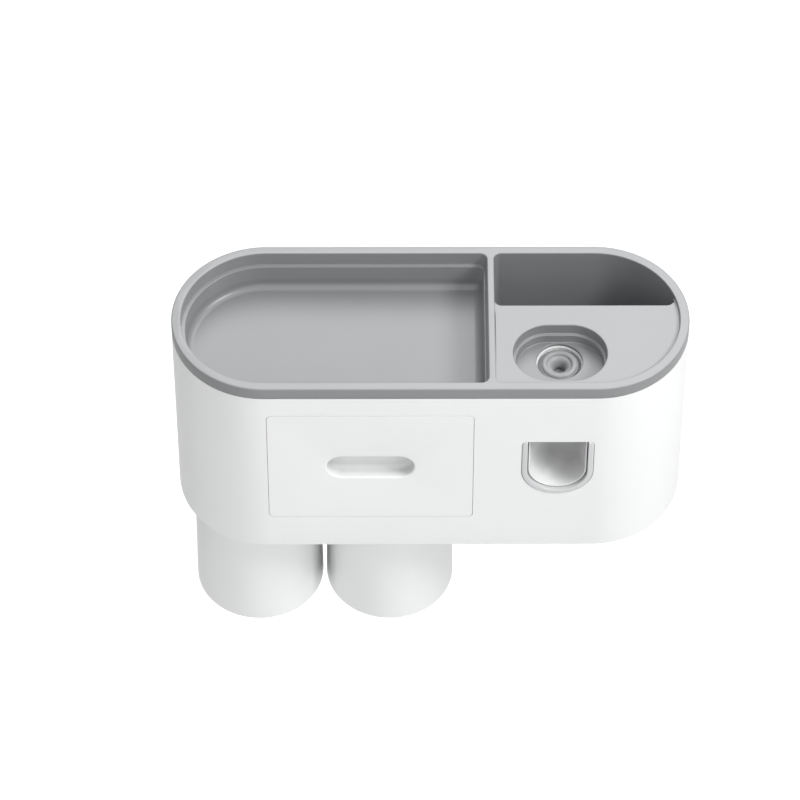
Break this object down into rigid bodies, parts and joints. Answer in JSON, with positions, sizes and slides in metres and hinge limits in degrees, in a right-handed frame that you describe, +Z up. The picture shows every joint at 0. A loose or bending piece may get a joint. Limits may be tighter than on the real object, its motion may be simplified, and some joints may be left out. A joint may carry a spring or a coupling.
{
  "type": "wall-mounted toothbrush holder",
  "caption": "Oblong wall-mounted toothbrush holder with a lift-out tray, storage drawer, push toothpaste pump, hanging brush slots and magnetic rinsing cups.",
  "frame": {"origin": "centre of the adhesive sheet's face against the wall", "axes": "+X to the right seen from the front, +Y into the wall, +Z up"},
  "size_m": [0.272, 0.1071, 0.2172],
  "materials": {
    "white_abs": "satin white moulded ABS",
    "grey_abs": "satin light grey moulded ABS",
    "inner_abs": "plain white inner moulding",
    "bezel": "pale translucent plastic",
    "silicone": "soft light grey silicone",
    "steel": "zinc-plated steel",
    "magnet": "nickel-plated magnet",
    "bracket": "smooth white plastic",
    "adhesive": "clear acrylic adhesive foam"
  },
  "bodies": {
    "wall_mount": {"adhesive_sheet": "adhesive", "wall_bracket": "bracket"},
    "housing": {"body_shell": "white_abs", "drawer_bay": "inner_abs", "brush_rack": "grey_abs", "brush_cover": "inner_abs", "mouth_bezel": "bezel", "pump_body": "inner_abs", "pump_back": "inner_abs", "bellows": "silicone", "return_spring": "steel", "inlet_seat": "silicone", "inlet_valve": "silicone", "outlet_nozzle": "silicone", "bay_screw_1": "steel", "bay_screw_2": "steel", "bay_screw_3": "steel", "bay_screw_4": "steel", "cover_screw_1": "steel", "cover_screw_2": "steel", "pump_screw_1": "steel", "pump_screw_2": "steel", "pump_screw_3": "steel", "pump_screw_4": "steel", "back_screw_1": "steel", "back_screw_2": "steel", "magnet_left": "magnet", "magnet_right": "magnet", "magnet_cap_left": "inner_abs", "magnet_cap_right": "inner_abs", "base_plate": "white_abs", "base_screw_1": "steel", "base_screw_2": "steel", "base_screw_3": "steel", "base_screw_4": "steel"},
    "tray": {"top_tray": "grey_abs"},
    "drawer": {"drawer_front": "white_abs", "drawer_box": "inner_abs", "drawer_screw_1": "steel", "drawer_screw_2": "steel", "drawer_screw_3": "steel", "drawer_screw_4": "steel"},
    "push_piece": {"pusher": "white_abs"},
    "left_cup": {"cup_left": "white_abs", "cup_keeper_left": "steel", "cup_cover_left": "inner_abs"},
    "right_cup": {"cup_right": "white_abs", "cup_keeper_right": "steel", "cup_cover_right": "inner_abs"}
  },
  "joints": [
    {"name": "body_lift", "type": "slide", "parent": "wall_mount", "child": "housing", "axis": [0, 0, 1], "range_m": [0, 0.03]},
    {"name": "tray_lift", "type": "slide", "parent": "housing", "child": "tray", "axis": [0, 0, 1], "range_m": [0, 0.07]},
    {"name": "drawer_slide", "type": "slide", "parent": "housing", "child": "drawer", "axis": [0, -1, 0], "range_m": [0, 0.065]},
    {"name": "pusher_slide", "type": "slide", "parent": "housing", "child": "push_piece", "axis": [0, 1, 0], "range_m": [0, 0.012], "stiffness_N_per_m": 300, "springref_m": -0.004, "deforming": ["bellows", "return_spring"]},
    {"name": "cup_left_pull", "type": "slide", "parent": "housing", "child": "left_cup", "axis": [0, 0, -1], "range_m": [0, 0.05]},
    {"name": "cup_right_pull", "type": "slide", "parent": "housing", "child": "right_cup", "axis": [0, 0, -1], "range_m": [0, 0.05]}
  ]
}
